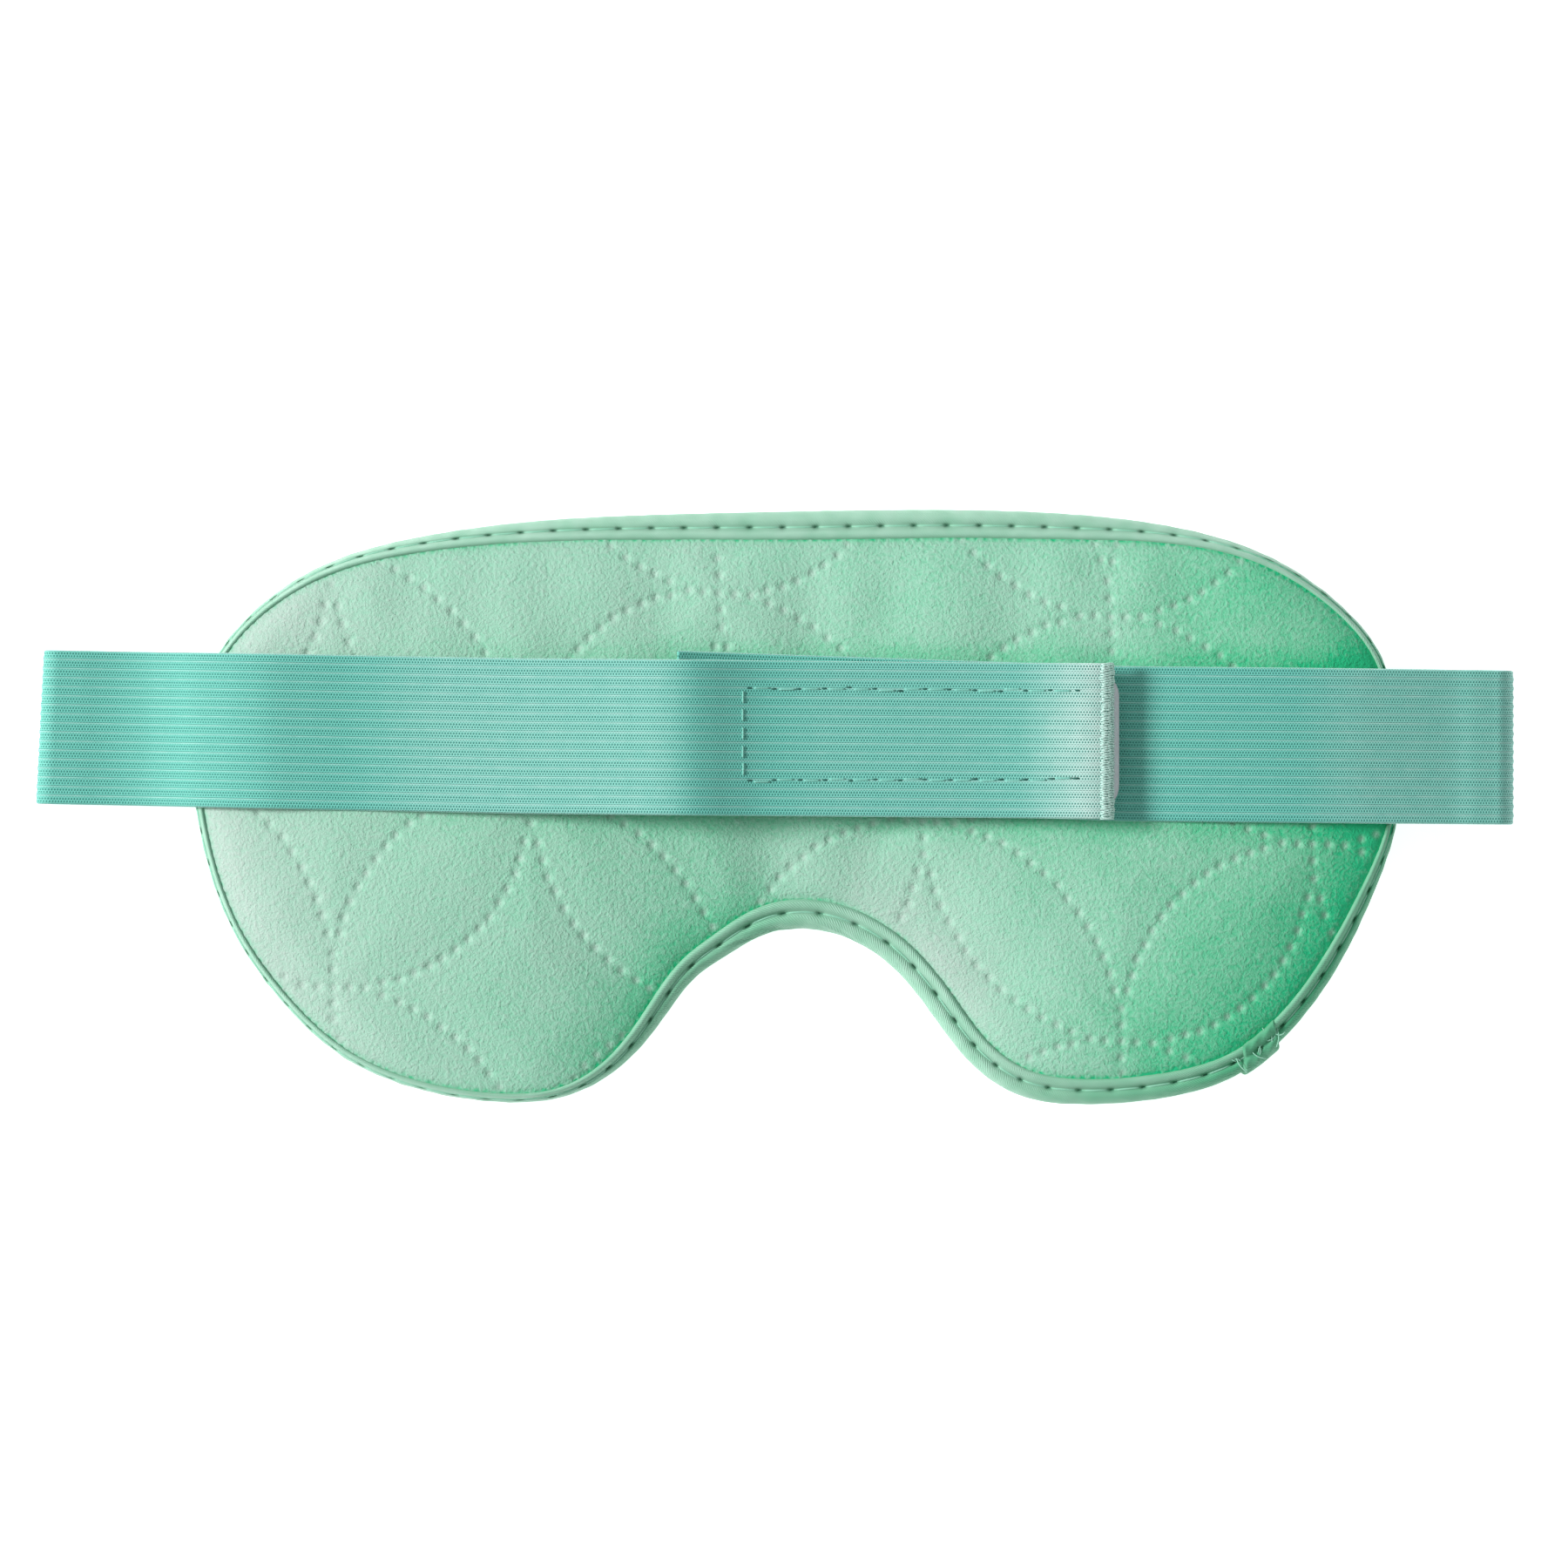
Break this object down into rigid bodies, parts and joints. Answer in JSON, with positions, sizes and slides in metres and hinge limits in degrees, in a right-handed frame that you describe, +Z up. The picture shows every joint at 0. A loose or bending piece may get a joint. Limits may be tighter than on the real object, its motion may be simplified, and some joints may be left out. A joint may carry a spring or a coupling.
{
  "type": "eye pillow",
  "caption": "Quilted, bound eye pillow filled with flaxseed, on an elastic head strap in two halves that close with hook-and-loop tape.",
  "frame": {"origin": "on the ground plane, below the centre of the whole object's bounding box", "axes": "+X along the pillow's length towards the right strap fold, +Y from the nose notch to the forehead edge, +Z up from the outer cover to the quilted face"},
  "size_m": [0.237, 0.0983, 0.0176],
  "materials": {
    "quilted_suede": "brushed microsuede, embossed in overlapping circles of dots",
    "cover_satin": "satin, plain panel",
    "binding_satin": "satin bias tape, soft sheen",
    "felt_padding": "soft needled felt",
    "wadding": "lofty polyester wadding",
    "cotton_lining": "plain weave cotton",
    "flaxseed": "glossy loose seeds",
    "sewing_thread": "twisted polyester thread",
    "patch_thread": "twisted polyester thread",
    "woven_elastic": "ribbed woven elastic, soft sheen",
    "hook_tape": "moulded hooks on a woven tape",
    "loop_tape": "brushed nylon loops"
  },
  "bodies": {
    "mask": {"outer_cover": "cover_satin", "front_padding": "felt_padding", "inner_bag": "cotton_lining", "flaxseed_fill_left": "flaxseed", "flaxseed_fill_right": "flaxseed", "quilt_backing": "cotton_lining", "quilt_wadding": "wadding", "quilted_face": "quilted_suede", "edge_binding": "binding_satin", "binding_join": "binding_satin", "binding_stitching": "sewing_thread", "left_strap_fixed_run": "woven_elastic", "right_strap_fixed_run": "woven_elastic", "left_strap_tack": "sewing_thread", "right_strap_tack": "sewing_thread"},
    "left_strap": {"left_strap": "woven_elastic"},
    "hook_tab": {"hook_tab": "woven_elastic", "hook_patch": "hook_tape", "hook_patch_stitching": "patch_thread"},
    "right_strap": {"right_strap": "woven_elastic", "loop_patch": "loop_tape", "loop_patch_stitching": "patch_thread"}
  },
  "joints": [
    {"name": "left_strap_fold", "type": "hinge", "parent": "mask", "child": "left_strap", "pos_m": [-0.1186, 0.0116, 0.0025], "axis": [0, -1, 0], "range_deg": [0, 160]},
    {"name": "tab_peel", "type": "hinge", "parent": "left_strap", "child": "hook_tab", "pos_m": [-0.0084, 0.0116, 0.0173], "axis": [0, -1, 0], "range_deg": [0, 150]},
    {"name": "right_strap_fold", "type": "hinge", "parent": "mask", "child": "right_strap", "pos_m": [0.1186, 0.0116, 0.0025], "axis": [0, 1, 0], "range_deg": [0, 115.3]}
  ],
  "couplings": [
    {"joint": "right_strap_fold", "follows": "left_strap_fold", "ratio": 0.72}
  ]
}
